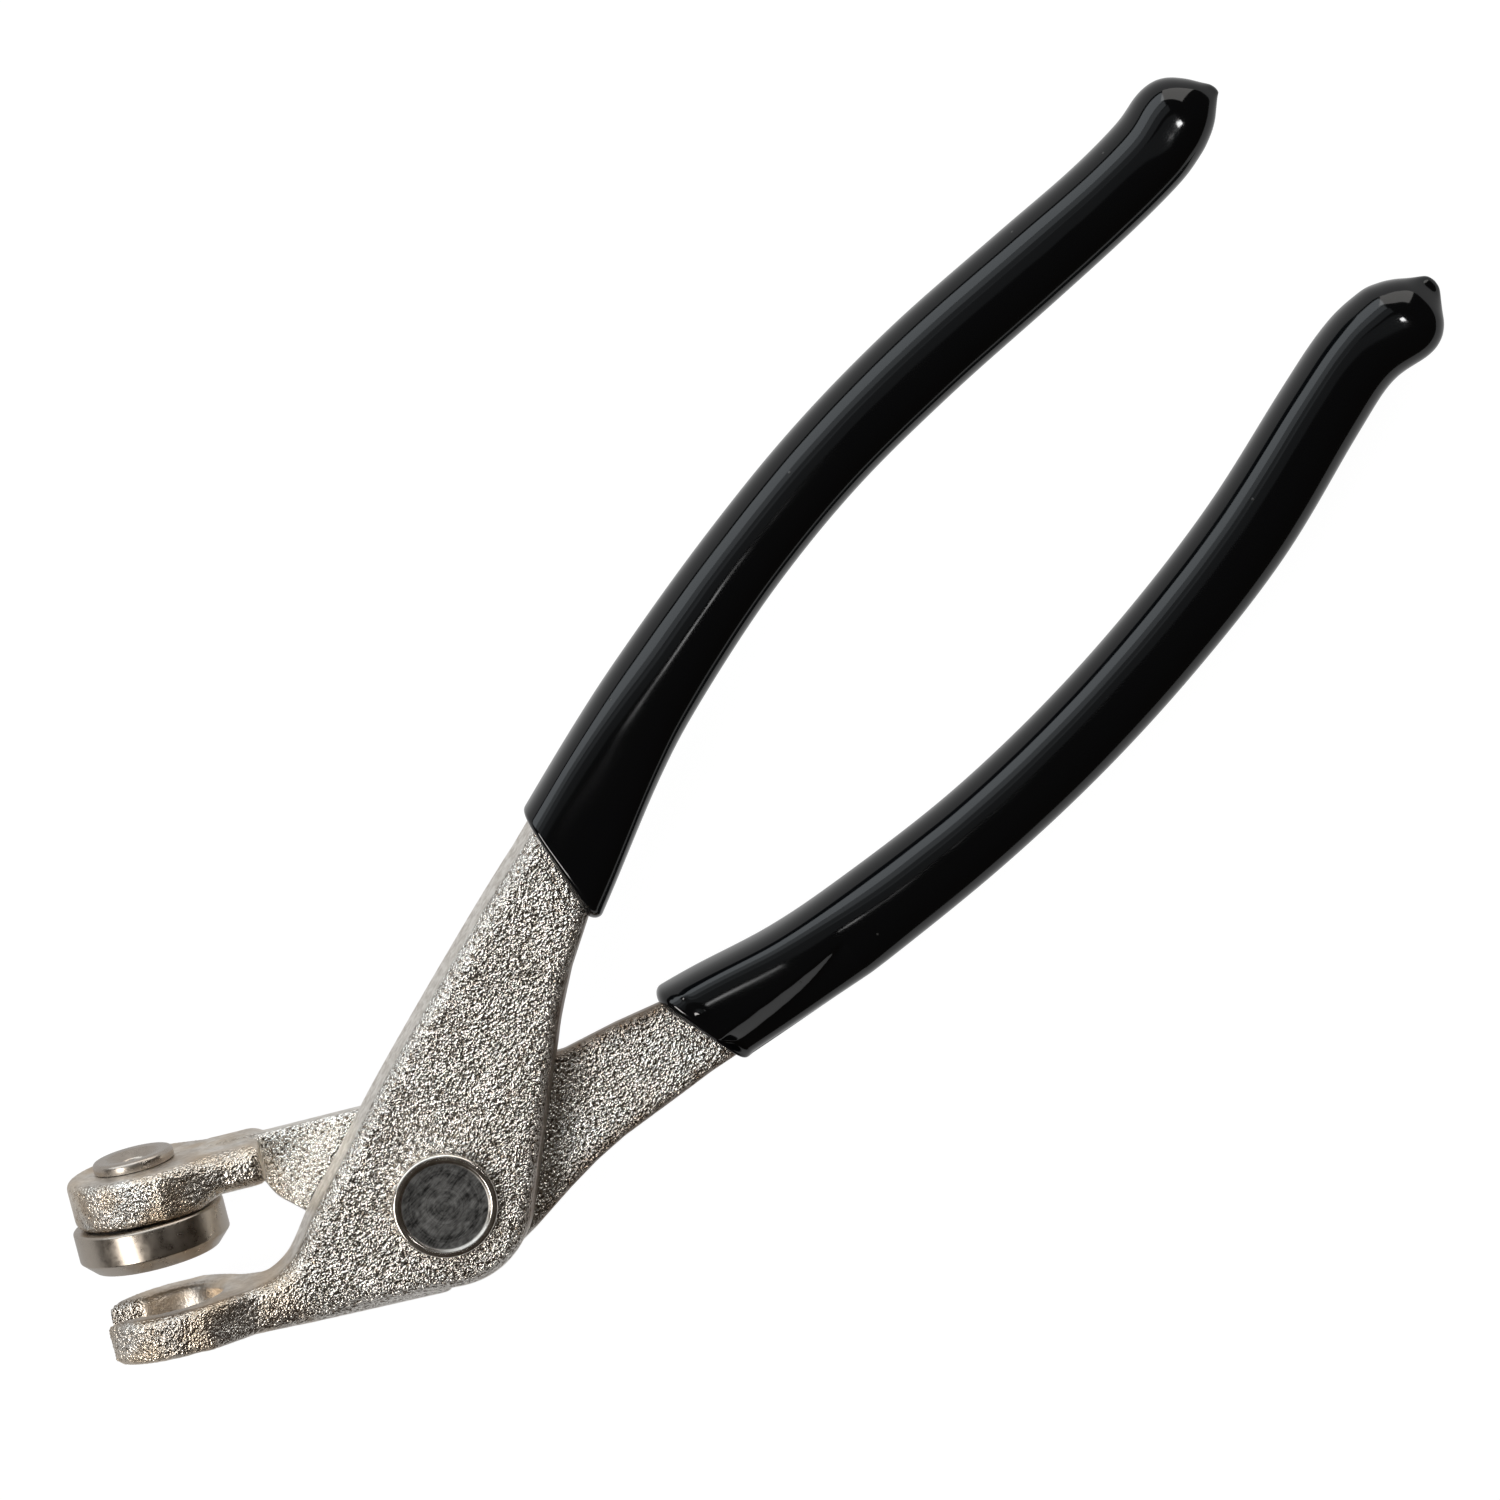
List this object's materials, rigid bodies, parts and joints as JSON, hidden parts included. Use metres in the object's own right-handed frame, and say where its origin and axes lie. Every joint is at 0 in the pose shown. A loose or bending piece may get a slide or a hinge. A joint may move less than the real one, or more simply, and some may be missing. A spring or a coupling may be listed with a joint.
{
  "type": "temporary fastener pliers",
  "caption": "Pliers with a forked lower jaw and a riveted presser disc on the upper jaw, for squeezing plunger fasteners or setting snaps; dipped grips on crossed levers.",
  "frame": {"origin": "under the middle of the pliers' bounding box, on the plane they lie on", "axes": "+X along the handles, away from the jaws; +Z along the pivot rivet's axis, out of the fork lever's outer face"},
  "size_m": [0.1873, 0.0581, 0.018],
  "materials": {
    "nickel_forging": "nickel plated over a coarse pebbled forging skin, with smooth trimmed edges",
    "pivot_steel": "dark spun face with fine turned rings and a polished rim",
    "disc_plating": "bright turned nickel",
    "rivet_plating": "satin nickel, dished where it is clinched",
    "black_vinyl": "glossy dipped black vinyl"
  },
  "bodies": {
    "fork_side": {"fork_lever": "nickel_forging", "pivot_rivet": "pivot_steel", "fork_lever_grip": "black_vinyl"},
    "presser_side": {"presser_lever": "nickel_forging", "disc_rivet": "rivet_plating", "presser_lever_grip": "black_vinyl"},
    "disc": {"presser_disc": "disc_plating"}
  },
  "joints": [
    {"name": "pivot", "type": "hinge", "parent": "fork_side", "child": "presser_side", "pos_m": [-0.05561, -0.00385, 0.009], "axis": [0, 0, -1], "range_deg": [-7, 60]},
    {"name": "disc_swivel", "type": "hinge", "parent": "presser_side", "child": "disc", "pos_m": [-0.08174, 0.01566, 0.009], "axis": [0.5736, 0.8192, 0], "continuous": true}
  ]
}
